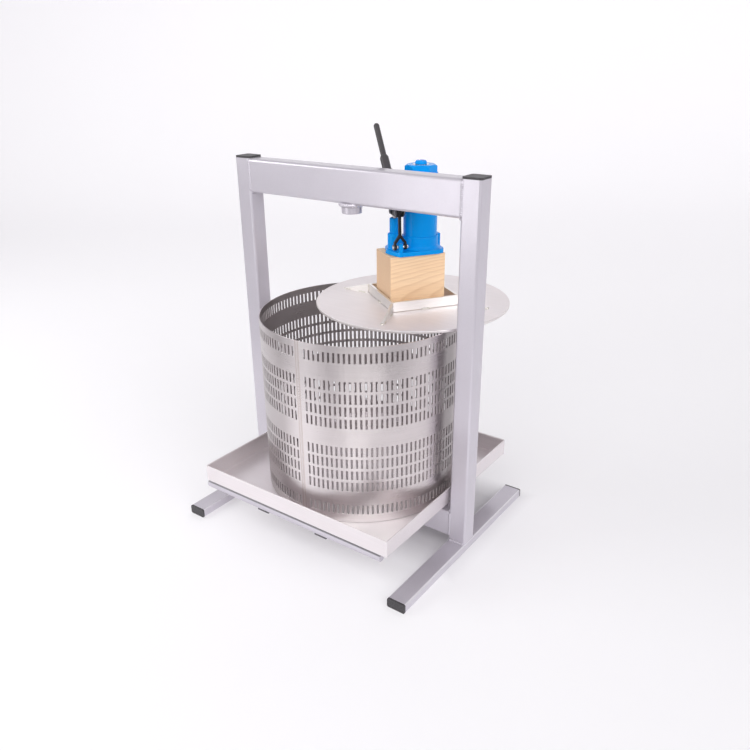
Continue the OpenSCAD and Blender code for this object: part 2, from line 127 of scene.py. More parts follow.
def lathe(profile, n=72, closed=False, mat=None):
    """Turned shape. profile is (radius, height) points; closed joins the last to the first."""
    bm = bmesh.new()
    rings = []
    for r, z in profile:
        if r < 1e-6:
            rings.append([bm.verts.new((0, 0, z))])
        else:
            rings.append([bm.verts.new((r*math.cos(2*math.pi*k/n), r*math.sin(2*math.pi*k/n), z)) for k in range(n)])
    pairs = list(zip(rings, rings[1:])) + ([(rings[-1], rings[0])] if closed else [])
    for a, b in pairs:
        for k in range(n):
            k2 = (k + 1) % n
            if len(a) == 1 and len(b) == 1:
                continue
            if len(a) == 1:
                bm.faces.new((a[0], b[k2], b[k]))
            elif len(b) == 1:
                bm.faces.new((a[k], a[k2], b[0]))
            else:
                bm.faces.new((a[k], a[k2], b[k2], b[k]))
    if mat is not None:
        bm.transform(mat)
    return bm


def bead(pts, rad, pitch=3.4, up=(0, 0, 1), seg=10, closed=False, wobble=0.1, squash=1.0, mat=None):
    """Weld bead along a path: overlapping ripples, tapered ends."""
    path = [Vector(p) for p in pts]
    if closed:
        path.append(path[0])
    lens = [0.0]
    for a, b in zip(path, path[1:]):
        lens.append(lens[-1] + (b - a).length)
    total = lens[-1]
    count = max(4, int(total/(pitch/5)))
    up = Vector(up)
    bm = bmesh.new()
    rings = []
    for i in range(count + (0 if closed else 1)):
        s = total*i/count
        j = max(k for k in range(len(lens) - 1) if lens[k] <= s + 1e-9)
        a, b = path[j], path[j + 1]
        f = (s - lens[j])/max(lens[j + 1] - lens[j], 1e-9)
        p = a.lerp(b, f)
        t0 = (b - a).normalized()
        t = t0
        side = t.cross(up)
        if side.length < 1e-4:
            side = t.cross(Vector((1, 0, 0)))
        side.normalize()
        u2 = side.cross(t)
        ph = (s/pitch) % 1.0
        r = rad*(1 - wobble + wobble*1.6*(ph*(1 - ph)*4)**0.6 + 0.05*math.sin(s*1.13 + rad) + 0.04*math.sin(s*0.37))
        if not closed:
            e = min(s, total - s)/(1.3*rad)
            if e < 1:
                r *= math.sqrt(max(0.02, 1 - (1 - e)**2))
        ring = []
        for k in range(seg):
            ang = 2*math.pi*k/seg
            lag = -0.4*rad*math.cos(ang)**2
            ring.append(bm.verts.new(p + (side*math.cos(ang) + u2*math.sin(ang)*squash)*r + t*lag))
        rings.append(ring)
    m = len(rings)
    for i in range(m if closed else m - 1):
        a, b = rings[i], rings[(i + 1) % m]
        for k in range(seg):
            bm.faces.new((a[k], a[(k + 1) % seg], b[(k + 1) % seg], b[k]))
    if not closed:
        bm.faces.new(rings[0])
        bm.faces.new(list(reversed(rings[-1])))
    if mat is not None:
        bm.transform(mat)
    return bm


def piece(name, bm, material, body, nodes=(), sharp=38, weighted=True):
    """Turns a mesh in millimetres into a finished piece that rides on a CAD body."""
    bmesh.ops.remove_doubles(bm, verts=bm.verts, dist=1e-4)
    bmesh.ops.recalc_face_normals(bm, faces=bm.faces)
    bmesh.ops.scale(bm, vec=(MM, MM, MM), verts=bm.verts)
    me = bpy.data.meshes.new(name)
    bm.to_mesh(me)
    bm.free()
    return finish_mesh(name, me, material, body, nodes, sharp, weighted)


def finish_mesh(name, me, material, body, nodes, sharp=38, weighted=True):
    me.polygons.foreach_set("use_smooth", [True]*len(me.polygons))
    me.set_sharp_from_angle(angle=math.radians(sharp))
    me.materials.clear()
    me.materials.append(material)
    ob = bpy.data.objects.new(name, me)
    SCENE.collection.objects.link(ob)
    if weighted:
        w = ob.modifiers.new("weighted", "WEIGHTED_NORMAL")
        w.keep_sharp = True
    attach(ob, body)
    if nodes:
        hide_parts(*nodes)
    return ob


def cad_bm(node):
    """A welded, cleaned copy of a CAD node's mesh, in millimetres."""
    bm = bmesh.new()
    bm.from_mesh(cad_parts[node].data)
    bmesh.ops.scale(bm, vec=(1000, 1000, 1000), verts=bm.verts)
    bmesh.ops.remove_doubles(bm, verts=bm.verts, dist=2e-3)
    bmesh.ops.dissolve_degenerate(bm, edges=bm.edges, dist=1e-3)
    bmesh.ops.dissolve_limit(bm, angle_limit=math.radians(0.6), verts=bm.verts, edges=bm.edges)
    return bm


def softened(name, node, material, body, bevel=0.5, seg=2, angle=32, sharp=38):
    """Stands for a CAD node of the same shape, with its edges broken."""
    bm = bevel_sharp(cad_bm(node), bevel, seg, angle)
    return piece(name, bm, material, body, (node,), sharp)


def cast(name, nodes, material, body, voxel=0.8, rounds=6, factor=0.5):
    """Stands for CAD nodes as one casting or forging: same outside, with soft inner and outer corners."""
    bm = bmesh.new()
    for n in nodes:
        src = bmesh.new()
        src.from_mesh(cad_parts[n].data)
        bmesh.ops.remove_doubles(src, verts=src.verts, dist=2e-6)
        merge(bm, src)
    me = bpy.data.meshes.new(name + "_raw")
    bm.to_mesh(me)
    bm.free()
    ob = bpy.data.objects.new(name + "_raw", me)
    SCENE.collection.objects.link(ob)
    m = ob.modifiers.new("voxels", "REMESH")
    m.mode = "VOXEL"
    m.voxel_size = voxel*MM
    s = ob.modifiers.new("smooth", "SMOOTH")
    s.factor = factor
    s.iterations = rounds
    d = ob.modifiers.new("thin", "DECIMATE")
    d.decimate_type = "COLLAPSE"
    d.ratio = 0.35
    bpy.context.view_layer.update()
    made = bpy.data.meshes.new_from_object(ob.evaluated_get(bpy.context.evaluated_depsgraph_get()))
    made.name = name
    bpy.data.objects.remove(ob)
    bpy.data.meshes.remove(me)
    return finish_mesh(name, made, material, body, nodes, 60, False)


# ------------------------------------------------------------------ materials
def material(name):
    m = bpy.data.materials.new(name)
    m.use_nodes = True
    nt = m.node_tree
    nt.nodes.clear()
    out = nt.nodes.new("ShaderNodeOutputMaterial")
    sh = nt.nodes.new("ShaderNodeBsdfPrincipled")
    nt.links.new(sh.outputs[0], out.inputs[0])
    return m, nt, sh


def node(nt, kind, inputs=None, **props):
    n = nt.nodes.new(kind)
    for k, v in props.items():
        setattr(n, k, v)
    for k, v in (inputs or {}).items():
        if isinstance(v, bpy.types.NodeSocket):
            nt.links.new(v, n.inputs[k])
        else:
            n.inputs[k].default_value = v
    return n


def coords(nt):
    return node(nt, "ShaderNodeTexCoord").outputs["Object"]


def mapped(nt, src, scale=(1, 1, 1), rot=(0, 0, 0), loc=(0, 0, 0)):
    return node(nt, "ShaderNodeMapping", {"Vector": src, "Location": loc, "Rotation": rot, "Scale": scale}).outputs[0]


def noise(nt, vec, scale, detail=3.0, rough=0.5, distortion=0.0):
    return node(nt, "ShaderNodeTexNoise", {"Vector": vec, "Scale": scale, "Detail": detail, "Roughness": rough, "Distortion": distortion}).outputs["Fac"]


def ramp(nt, fac, stops):
    n = node(nt, "ShaderNodeValToRGB", {"Fac": fac})
    el = n.color_ramp.elements
    while len(el) < len(stops):
        el.new(0.5)
    for e, (pos, col) in zip(el, stops):
        e.position = pos
        e.color = (*col, 1) if len(col) == 3 else col
    return n.outputs["Color"]


def span(nt, fac, lo, hi, a=0.0, b=1.0):
    return node(nt, "ShaderNodeMapRange", {"Value": fac, "From Min": a, "From Max": b, "To Min": lo, "To Max": hi}).outputs[0]


def maths(nt, op, a, b=0.0, c=0.0):
    n = nt.nodes.new("ShaderNodeMath")
    n.operation = op
    for i, v in enumerate((a, b, c)):
        if isinstance(v, bpy.types.NodeSocket):
            nt.links.new(v, n.inputs[i])
        else:
            n.inputs[i].default_value = v
    return n.outputs[0]


def mix(nt, fac, a, b, blend="MIX"):
    n = node(nt, "ShaderNodeMix", data_type="RGBA", blend_type=blend)
    for sock, v in ((n.inputs[0], fac), (n.inputs[6], a), (n.inputs[7], b)):
        if isinstance(v, bpy.types.NodeSocket):
            nt.links.new(v, sock)
        else:
            sock.default_value = v if not isinstance(v, tuple) or len(v) == 4 else (*v, 1)
    return n.outputs[2]


def bump(nt, height, strength, dist, normal=None):
    ins = {"Height": height, "Strength": strength, "Distance": dist}
    if normal is not None:
        ins["Normal"] = normal
    return node(nt, "ShaderNodeBump", ins).outputs[0]


def put(nt, sh, **kw):
    names = {"color": "Base Color", "rough": "Roughness", "normal": "Normal", "metal": "Metallic", "coat": "Coat Weight",
             "coat_rough": "Coat Roughness", "aniso": "Anisotropic", "spec": "Specular IOR Level", "ior": "IOR"}
    for k, v in kw.items():
        s = sh.inputs[names[k]]
        if isinstance(v, bpy.types.NodeSocket):
            nt.links.new(v, s)
        else:
            s.default_value = (*v, 1) if isinstance(v, tuple) and len(v) == 3 else v


def powder_coat(name, dark, light, metal=0.55, rough=(0.30, 0.42), coat=0.3, shade=None, edges=0.0):
    """Silver powder coat: fine orange peel, tiny flakes, soft cloudiness."""
    m, nt, sh = material(name)
    c = coords(nt)
    cloud = noise(nt, c, 9, 3, 0.55)
    flake = node(nt, "ShaderNodeTexVoronoi", {"Vector": c, "Scale": 2600.0}).outputs["Color"]
    flake_v = node(nt, "ShaderNodeSeparateColor", {"Color": flake}).outputs[0]
    tone = mix(nt, cloud, dark, light)
    tone = mix(nt, span(nt, flake_v, 0.0, 0.16), tone, (0.98, 0.97, 1.0))
    if shade is not None:
        # darker beyond a height or a depth, for the shadow line in the photograph: (axis, from, to, amount)
        far = maths(nt, "ABSOLUTE", node(nt, "ShaderNodeSeparateXYZ", {"Vector": c}).outputs[shade[0]])
        tone = mix(nt, span(nt, far, 0.0, shade[3], shade[1], shade[2]), tone, (0.045, 0.043, 0.047))
    # painted highlight along the long upper edges of the feet, painted shade on what faces up, both standing in for
    # reflections
    facing = node(nt, "ShaderNodeSeparateXYZ", {"Vector": node(nt, "ShaderNodeTexCoord").outputs["Normal"]})
    nx, nz = facing.outputs[0], facing.outputs[2]
    upper = maths(nt, "MULTIPLY", span(nt, nz, 0.0, 0.22, 0.75, 0.98), span(nt, noise(nt, c, 14, 4, 0.6), 0.7, 1.2, 0.3, 0.7))
    tone = mix(nt, upper, tone, (0.27, 0.257, 0.28))
    edge = maths(nt, "ABSOLUTE", maths(nt, "MULTIPLY", nx, nz))
    tone = mix(nt, span(nt, edge, 0.0, edges, 0.22, 0.48), tone, (0.97, 0.955, 0.99))
    peel = noise(nt, c, 620, 2, 0.4)
    fine = noise(nt, c, 2400, 2, 0.5)
    n1 = bump(nt, peel, 0.10, 0.0004)
    n2 = bump(nt, fine, 0.06, 0.0002, n1)
    put(nt, sh, color=tone, metal=metal, rough=span(nt, noise(nt, c, 45, 4, 0.6), rough[0], rough[1]), coat=coat, coat_rough=0.07, normal=n2)
    return m


def brushed(name, light, dark, rough=(0.2, 0.34), grain=(14, 1600, 1600), rot=(0, 0, 0), around=None, seam=None, strength=0.1, patch=0.12, metal=1.0, foot=None):
    """Brushed stainless sheet: long fine scratches along one way, cloudy polish, a few handling marks."""
    m, nt, sh = material(name)
    c = coords(nt)
    src = c
    if around is not None:
        sep = node(nt, "ShaderNodeSeparateXYZ", {"Vector": c})
        x = maths(nt, "SUBTRACT", sep.outputs[0], around[0])
        y = maths(nt, "SUBTRACT", sep.outputs[1], around[1])
        ang = maths(nt, "ARCTAN2", y, x)
        rad = maths(nt, "SQRT", maths(nt, "ADD", maths(nt, "MULTIPLY", x, x), maths(nt, "MULTIPLY", y, y)))
        arc = maths(nt, "MULTIPLY", ang, 0.212)
        src = node(nt, "ShaderNodeCombineXYZ", {"X": arc, "Y": rad, "Z": sep.outputs[2]}).outputs[0]
    g1 = noise(nt, mapped(nt, src, grain, rot), 1.0, 4, 0.6)
    g2 = noise(nt, mapped(nt, src, tuple(v*0.31 for v in grain), rot, (3, 7, 1)), 1.0, 3, 0.6)
    cloud = noise(nt, c, 7, 4, 0.6, 0.4)
    fac = maths(nt, "ADD", maths(nt, "MULTIPLY", g1, 0.55), maths(nt, "MULTIPLY", g2, 0.45))
    tone = mix(nt, span(nt, fac, 0, 1, 0.3, 0.7), dark, light)
    tone = mix(nt, span(nt, cloud, 0.0, patch, 0.35, 0.75), tone, tuple(v*0.72 for v in dark))
    if around is not None:
        # painted reflection: bright between the seam and the right post, with painted shade making it duller elsewhere
        bright = maths(nt, "MULTIPLY", span(nt, ang, 0.0, 1.0, -1.80, -1.54), span(nt, ang, 1.0, 0.0, -0.16, 0.0))
        tone = mix(nt, span(nt, bright, 0.36, 0.0), tone, tuple(v*0.36 for v in dark))
        # also painted: a dark stripe of shade by the right post, a highlight on one stretch of the front and shade on a
        # duller one
        tone = mix(nt, span(nt, maths(nt, "ABSOLUTE", maths(nt, "SUBTRACT", ang, 0.01)), 0.42, 0.0, 0.05, 0.17), tone, tuple(v*0.22 for v in dark))
        shine = span(nt, maths(nt, "ABSOLUTE", maths(nt, "ADD", ang, 1.50)), 0.36, 0.0, 0.05, 0.26)
        tone = mix(nt, shine, tone, (0.98, 0.93, 0.935))
        dull = span(nt, maths(nt, "ABSOLUTE", maths(nt, "ADD", ang, 0.93)), 0.20, 0.0, 0.08, 0.26)
        tone = mix(nt, maths(nt, "MULTIPLY", dull, span(nt, sep.outputs[2], 0.0, 1.0, 0.20, 0.28)), tone, tuple(v*0.30 for v in dark))
    r = maths(nt, "ADD", span(nt, g1, rough[0], rough[1], 0.25, 0.75), span(nt, cloud, -0.03, 0.05, 0.3, 0.7))
    if seam is not None:
        sep2 = node(nt, "ShaderNodeSeparateXYZ", {"Vector": c})
        d = maths(nt, "ABSOLUTE", maths(nt, "SUBTRACT", sep2.outputs[0], seam))
        front = maths(nt, "LESS_THAN", sep2.outputs[1], 0.0)
        wavy = maths(nt, "ADD", d, span(nt, noise(nt, c, 60, 2, 0.5), -0.0006, 0.0006))
        line = span(nt, maths(nt, "ABSOLUTE", maths(nt, "SUBTRACT", wavy, 0.0033)), 0.34, 0.0, 0.0004, 0.0012)
        band = span(nt, wavy, 0.10, 0.0, 0.0022, 0.0060)
        tint = maths(nt, "MULTIPLY", front, maths(nt, "ADD", line, band))
        tone = mix(nt, tint, tone, (0.42, 0.30, 0.22))
    if foot is not None:
        # dark line along the lower bend of a folded box, for the shadow line in the photograph: (centre x, half width, half depth, bottom)
        sep3 = node(nt, "ShaderNodeSeparateXYZ", {"Vector": c})
        side = span(nt, maths(nt, "ABSOLUTE", maths(nt, "SUBTRACT", sep3.outputs[0], foot[0])), 0.0, 1.0, foot[1] - 0.0018, foot[1] - 0.0012)
        face = span(nt, maths(nt, "ABSOLUTE", sep3.outputs[1]), 0.0, 1.0, foot[2] - 0.0018, foot[2] - 0.0012)
        low = span(nt, sep3.outputs[2], 0.72, 0.0, foot[3] + 0.0022, foot[3] + 0.0036)
        tone = mix(nt, maths(nt, "MULTIPLY", maths(nt, "MAXIMUM", side, face), low), tone, tuple(v*0.12 for v in dark))
        # painted highlight: the floor's front right corner is lighter
        near = maths(nt, "MULTIPLY", span(nt, sep3.outputs[0], 0.0, 1.0, 0.0, 0.14), span(nt, sep3.outputs[1], 1.0, 0.0, -0.20, -0.06))
        flat = maths(nt, "MULTIPLY", near, span(nt, sep3.outputs[2], 0.95, 0.0, foot[3] + 0.0022, foot[3] + 0.0030))
        tone = mix(nt, maths(nt, "MULTIPLY", flat, maths(nt, "SUBTRACT", 1.0, maths(nt, "MAXIMUM", side, face))), tone, (1.0, 0.985, 0.98))
    put(nt, sh, color=tone, metal=metal, rough=r, normal=bump(nt, fac, strength, 0.0002))
    return m


def enamel(name, col, col2, rough=(0.16, 0.28), peel=0.05, scale=420, coat=0.12, lumps=0.0, spec=0.22, bare=None):
    """Gloss paint over a casting: orange peel, slight thickness changes of colour; bare steel below the height bare."""
    m, nt, sh = material(name)
    c = coords(nt)
    tone = mix(nt, noise(nt, c, 38, 4, 0.6), col, col2)
    n1 = bump(nt, noise(nt, c, scale, 2, 0.45), peel, 0.0004)
    if lumps:
        n1 = bump(nt, noise(nt, c, 130, 3, 0.55), lumps, 0.0006, n1)
    if bare is not None:
        steel = span(nt, node(nt, "ShaderNodeSeparateXYZ", {"Vector": c}).outputs[2], 1.0, 0.0, bare - 0.0001, bare + 0.0001)
        tone = mix(nt, steel, tone, (0.68, 0.68, 0.69))
        put(nt, sh, metal=steel)
    put(nt, sh, color=tone, rough=span(nt, noise(nt, c, 90, 3, 0.6), rough[0], rough[1]), coat=coat, coat_rough=0.08, spec=spec, normal=n1)
    return m


def moulded(name, col, rough=(0.42, 0.58), scale=1500, strength=0.12):
    """Moulded black plastic or rubber: fine grain, faint scuffs."""
    m, nt, sh = material(name)
    c = coords(nt)
    scuff = noise(nt, mapped(nt, c, (300, 60, 300)), 1.0, 4, 0.7)
    tone = mix(nt, span(nt, scuff, 0, 1, 0.45, 0.8), col, tuple(min(1, v*2.2 + 0.01) for v in col))
    put(nt, sh, color=tone, rough=span(nt, scuff, rough[0], rough[1], 0.3, 0.7), normal=bump(nt, noise(nt, c, scale, 3, 0.6), strength, 0.0002))
    return m


def turned(name, light, dark, rough=(0.18, 0.32)):
    """Machined steel."""
    m, nt, sh = material(name)
    c = coords(nt)
    g = noise(nt, mapped(nt, c, (90, 90, 2600)), 1.0, 3, 0.6)
    put(nt, sh, color=mix(nt, g, dark, light), metal=1.0, rough=span(nt, g, rough[0], rough[1]), normal=bump(nt, g, 0.08, 0.0002))
    return m


def pine(name):
    """Softwood with its heart below one edge: growth rings, resin streaks, fibre, end grain where it is cut across."""
    m, nt, sh = material(name)
    c = coords(nt)
    p = node(nt, "ShaderNodeMapping", {"Vector": c, "Location": (0.073, 0.112, 0.0)}, vector_type="TEXTURE")
    p.inputs["Rotation"].default_value = (0, 0, math.radians(55))
    q = p.outputs[0]
    sway = noise(nt, mapped(nt, q, (4, 12, 12)), 1.0, 3, 0.55)
    sep = node(nt, "ShaderNodeSeparateXYZ", {"Vector": q})
    y = maths(nt, "ADD", maths(nt, "SUBTRACT", sep.outputs[1], 0.115), maths(nt, "MULTIPLY", sep.outputs[0], 0.05))
    z = maths(nt, "SUBTRACT", sep.outputs[2], 0.500)
    rad = maths(nt, "SQRT", maths(nt, "ADD", maths(nt, "MULTIPLY", y, y), maths(nt, "MULTIPLY", z, z)))
    rad = maths(nt, "ADD", rad, span(nt, sway, -0.003, 0.003))
    ring = maths(nt, "FRACT", maths(nt, "MULTIPLY", rad, 330.0))
    late = ramp(nt, ring, [(0.0, (0.05,)*3), (0.55, (0.28,)*3), (0.86, (1.0,)*3), (1.0, (0.08,)*3)])
    late_v = node(nt, "ShaderNodeSeparateColor", {"Color": late}).outputs[0]
    fibre = noise(nt, mapped(nt, q, (28, 900, 900)), 1.0, 4, 0.65)
    broad = noise(nt, mapped(nt, q, (5, 40, 40)), 1.0, 3, 0.5)
    tone = mix(nt, broad, (0.95, 0.655, 0.41), (0.99, 0.75, 0.50))
    tone = mix(nt, maths(nt, "MULTIPLY", late_v, 0.36), tone, (0.64, 0.35, 0.17))
    tone = mix(nt, span(nt, fibre, 0.0, 0.30, 0.45, 0.8), tone, (0.52, 0.30, 0.15))
    facing = node(nt, "ShaderNodeTexCoord").outputs["Normal"]
    end = node(nt, "ShaderNodeVectorMath", {0: facing, 1: (0.574, 0.819, 0.0)}, operation="DOT_PRODUCT").outputs["Value"]
    end = span(nt, maths(nt, "ABSOLUTE", end), 0.0, 0.42, 0.6, 0.95)
    tone = mix(nt, end, tone, (0.46, 0.29, 0.20))
    h = maths(nt, "ADD", maths(nt, "MULTIPLY", fibre, 0.7), maths(nt, "MULTIPLY", late_v, 0.3))
    put(nt, sh, color=tone, rough=span(nt, fibre, 0.45, 0.66), normal=bump(nt, h, 0.22, 0.0004), spec=0.3)
    return m


PAINT = powder_coat("silver_powder_coat", (0.54, 0.508, 0.564), (0.605, 0.570, 0.633), 0.45, (0.27, 0.38), edges=0.75)
WELD = powder_coat("coated_weld", (0.49, 0.460, 0.515), (0.55, 0.518, 0.578), 0.45, (0.32, 0.44))
# a darker copy of the silver powder coat, shaded under the tray, with a painted shadow line along the rail's top
RAIL = powder_coat("rail_powder_coat", (0.50, 0.470, 0.525), (0.56, 0.527, 0.588), 0.35, (0.36, 0.48), 0.0, (2, 0.0962, 0.0980, 0.74))
# a darker copy of the silver powder coat, shaded under the tray, with painted shade on the arms' ends
ARMS = powder_coat("arm_powder_coat", (0.46, 0.432, 0.483), (0.52, 0.489, 0.546), 0.35, (0.36, 0.48), 0.0, (1, 0.212, 0.222, 0.9))
SHEET = brushed("tray_sheet", (0.91, 0.862, 0.878), (0.83, 0.785, 0.797), (0.40, 0.52), (10, 1300, 1300), metal=0.85, foot=(0.008, 0.243, 0.241, 0.102))
BASKET = brushed("basket_sheet", (0.75, 0.695, 0.70), (0.66, 0.61, 0.61), (0.25, 0.35), (12, 500, 1500), around=(0.020, 0.0), seam=0.02555)
DISC = brushed("disc_plate", (0.97, 0.922, 0.922), (0.88, 0.838, 0.835), (0.50, 0.62), (10, 900, 900), rot=(0, 0, math.radians(-20)))
BARS = brushed("bar_steel", (0.95, 0.93, 0.905), (0.84, 0.82, 0.795), (0.30, 0.44), (60, 60, 900))
TACK = brushed("steel_weld", (0.86, 0.84, 0.80), (0.66, 0.61, 0.54), (0.22, 0.38), (500, 500, 500), strength=0.2, patch=0.3)
BLUE = enamel("blue_enamel", (0.0, 0.29, 0.80), (0.0, 0.33, 0.87), coat=0.06, lumps=0.0, spec=0.14)
SADDLE = enamel("blue_saddle_enamel", (0.0, 0.29, 0.80), (0.0, 0.33, 0.87), coat=0.06, spec=0.14, bare=0.7693)
BLUE_CAST = enamel("blue_cast_enamel", (0.0, 0.285, 0.78), (0.0, 0.33, 0.87), coat=0.06, peel=0.08, lumps=0.16, spec=0.14)
BLACK = enamel("black_enamel", (0.008, 0.008, 0.009), (0.016, 0.016, 0.018), (0.26, 0.40), 0.06, 500, 0.08, 0.08)
ROD = enamel("black_rod_enamel", (0.055, 0.050, 0.053), (0.085, 0.078, 0.082), (0.26, 0.40), 0.06, 500, 0.15, 0.04)
CAPS = moulded("black_cap_plastic", (0.040, 0.037, 0.041))
SEAL = moulded("black_rubber", (0.018, 0.018, 0.018), (0.6, 0.75), 900, 0.1)
STEEL = turned("machined_steel", (0.80, 0.80, 0.80), (0.62, 0.62, 0.63))
DARK = turned("dark_steel", (0.22, 0.22, 0.24), (0.12, 0.12, 0.13), (0.3, 0.45))
BRASS = turned("turned_brass", (0.82, 0.62, 0.28), (0.66, 0.47, 0.2))
PINE = pine("planed_pine")


# ------------------------------------------------------------------ frame
AX = Matrix(((0, 0, 1, 0), (1, 0, 0, 0), (0, 1, 0, 0), (0, 0, 0, 1)))   # outline (y, z), length along x
AY = Matrix(((1, 0, 0, 0), (0, 0, -1, 0), (0, 1, 0, 0), (0, 0, 0, 1)))  # outline (x, z), length along -y

for side, nm in ((-1, "left"), (1, "right")):
    x = side*POST_X
    piece(nm + "_post_tube", prism(rr(40, 40, 5, 8), 20, POST_TOP, mat=Matrix.Translation((x, 0, 0))), PAINT, "frame", (nm + "_post",))
    foot = prism(rr(40, 20, 3.5, 7), -244, 244, mat=Matrix.Translation((x, 0, 10)) @ AY)
    piece(nm + "_foot_tube", foot, PAINT, "frame", (nm + "_foot",))

piece("pressing_beam", prism(rr(40, 70, 6, 8), -256, 256, mat=Matrix.Translation((0, 0, 737)) @ AX), PAINT, "frame", ("top_beam",))
piece("lower_beam", prism(rr(40, 60, 5, 8), -256, 256, mat=Matrix.Translation((0, 0, 58)) @ AX), PAINT, "frame", ("bottom_beam",))

prof = rounded([(15, 702), (15, 682), (21, 682), (21, 702)], [0, 1.5, 1.6, 0], 4)
sock = lathe(prof, 72, True)
ring = [(22.2*math.cos(2*math.pi*k/72), 22.2*math.sin(2*math.pi*k/72), 700.4) for k in range(72)]
merge(sock, bead(ring, 4.0, 3.6, closed=True))
piece("socket_collar", sock, PAINT, "frame", ("ram_socket",))

bm = bmesh.new()
for side in (-1, 1):
    merge(bm, prism(rr(40, 40, 5, 8), 772.05, 776, 1.3, 3, Matrix.Translation((side*POST_X, 0, 0))))
    merge(bm, prism(rr(33.6, 33.6, 1.8, 4), 760, 772.5, 0, 1, Matrix.Translation((side*POST_X, 0, 0))))
piece("post_end_caps", bm, CAPS, "frame", ("post_caps",))
bm = bmesh.new()
for side in (-1, 1):
    for e in (-1, 1):
        turn = Matrix.Translation((side*POST_X, 0, 10)) @ Matrix.Rotation(0 if e < 0 else math.pi, 4, "Z") @ AY
        merge(bm, prism(rr(40, 20, 3.5, 7), 244.05, 248, 1.3, 3, turn))
        merge(bm, prism(rr(35.6, 15.6, 1.3, 4), 232, 244.5, 0, 1, turn))
piece("foot_end_caps", bm, CAPS, "frame", ("foot_caps",))

bm = bmesh.new()
for sx in (-1, 1):
    for sy in (-1, 1):
        a, b = (20, 230) if sy > 0 else (-230, -20)
        merge(bm, block(sx*79 - 15, sx*79 + 15, a, b, 76, 82, 0.9, 2))
piece("tray_support_arms", bm, ARMS, "frame", ("tray_arms",))
bm = bmesh.new()
for sy in (-1, 1):
    prof = rounded([(0, -240), (10, -240), (10, 232), (0, 232)], [0, 1.6, 1.6, 0], 4, False)
    merge(bm, lathe(prof, 56, mat=Matrix.Translation((0, sy*229, 92)) @ AX))
piece("tray_support_rails", bm, RAIL, "frame", ("tray_rails",))

# weld beads, coated with the frame
bm = bmesh.new()
for s in (-1, 1):
    xj = s*257.6
    for y, up in ((-18.6, (0, -1, 0)), (18.6, (0, 1, 0))):
        merge(bm, bead([(xj, y, 705), (xj, y, 770)], 3.1, 3.6, up))
        merge(bm, bead([(xj, y, 31), (xj, y, 86)], 3.1, 3.6, up))
    merge(bm, bead([(s*257, -16, 770.2), (s*257, 16, 770.2)], 2.4, 3.4, (0, 0, 1)))
    for z, dz in ((701.2, -1), (88.6, 1), (27.6, -1)):
        merge(bm, bead([(s*255.4, -17, z), (s*255.4, 17, z)], 3.2, 3.6, (0, 0, dz)))
    for y, dy in ((-20.4, -1), (20.4, 1)):
        merge(bm, bead([(s*276 - 18, y, 20.4), (s*276 + 18, y, 20.4)], 2.9, 3.4, (0, dy, 0.6)))
    for sy in (-1, 1):
        for z, dz in ((82.3, 1), (75.7, -1)):
            merge(bm, bead([(s*79 - 14, sy*20.6, z), (s*79 + 14, sy*20.6, z)], 2.6, 3.4, (0, sy, dz)))
        merge(bm, bead([(s*79 - 14, sy*224, 82.6), (s*79 + 14, sy*224, 82.6)], 2.6, 3.4, (0, -sy, 0.6)))
piece("frame_welds", bm, WELD, "frame", (), sharp=70, weighted=False)

# ------------------------------------------------------------------ tray
TX, TW, TD, TZ, TH, TT = 8.0, 486.0, 482.0, 102.0, 40.0, 1.5


def loop_wall(profile, n=5, rc=2.6):
    """A wall that runs round the tray: profile is (inset, height) points, closed over the floor at both ends."""
    bm = bmesh.new()
    loops = []
    for inset, z in profile:
        loops.append([bm.verts.new((TX + x, y, TZ + z)) for x, y in rr(TW - 2*inset, TD - 2*inset, max(rc - inset, 0.5), n)])
    for a, b in zip(loops, loops[1:]):
        k = len(a)
        for i in range(k):
            bm.faces.new((a[i], a[(i + 1) % k], b[(i + 1) % k], b[i]))
    bm.faces.new(list(reversed(loops[0])))
    bm.faces.new(loops[-1])
    return bm


outer = rounded([(30, 0), (0, 0), (0, TH)], [0, 2.6, 0], 5, False)
inner = rounded([(TT, TH), (TT, TT), (30, TT)], [0, 1.4, 0], 4, False)
tray = loop_wall(outer[:-1] + [(0, TH - 0.5), (0.35, TH - 0.05), (TT - 0.35, TH - 0.05), (TT, TH - 0.5)] + inner[1:])
hem = rounded([(0.1, TH - 1.2), (0.1, TH), (2*TT + 0.1, TH), (2*TT + 0.1, TH - 9), (TT + 0.02, TH - 9), (TT + 0.02, TH - 1.2)], [0, 1.3, 1.3, 0.4, 0, 0], 5)
for turn, half, dist in ((0, TW/2, TD/2), (180, TW/2, TD/2), (90, TD/2, TW/2), (270, TD/2, TW/2)):
    place = Matrix.Translation((TX, 0, TZ)) @ Matrix.Rotation(math.radians(turn), 4, "Z") @ Matrix.Translation((0, -dist, 0)) @ AX
    merge(tray, prism(hem, -half + 3.4, half - 3.4, 0, 1, place))
for sx in (-1, 1):
    for sy in (-1, 1):
        merge(tray, bead([(TX + sx*(TW/2 - 1.5), sy*(TD/2 - 1.5), TZ + 3), (TX + sx*(TW/2 - 1.5), sy*(TD/2 - 1.5), TZ + TH - 1.5)], 1.5, 2.2, (sx, sy, 0), 8, wobble=0.05))
piece("drip_tray", tray, SHEET, "tray", ("tray",))
ROT_Y = Matrix.Rotation(-math.pi/2, 4, "X")
pipe = lathe(rounded([(10.85, -2.5), (13.45, -2.5), (13.45, 45), (10.85, 45)], [0, 0, 0.7, 0.7], 3), 56, True, Matrix.Translation((TX, 241, 117.45)) @ ROT_Y)
ring = [(13.9*math.cos(2*math.pi*k/56), 13.9*math.sin(2*math.pi*k/56), 0.4) for k in range(56)]
merge(pipe, bead(ring, 1.7, 2.6, closed=True, mat=Matrix.Translation((TX, 241, 117.45)) @ ROT_Y))
piece("juice_outlet_pipe", pipe, SHEET, "tray", ("outlet_pipe",))

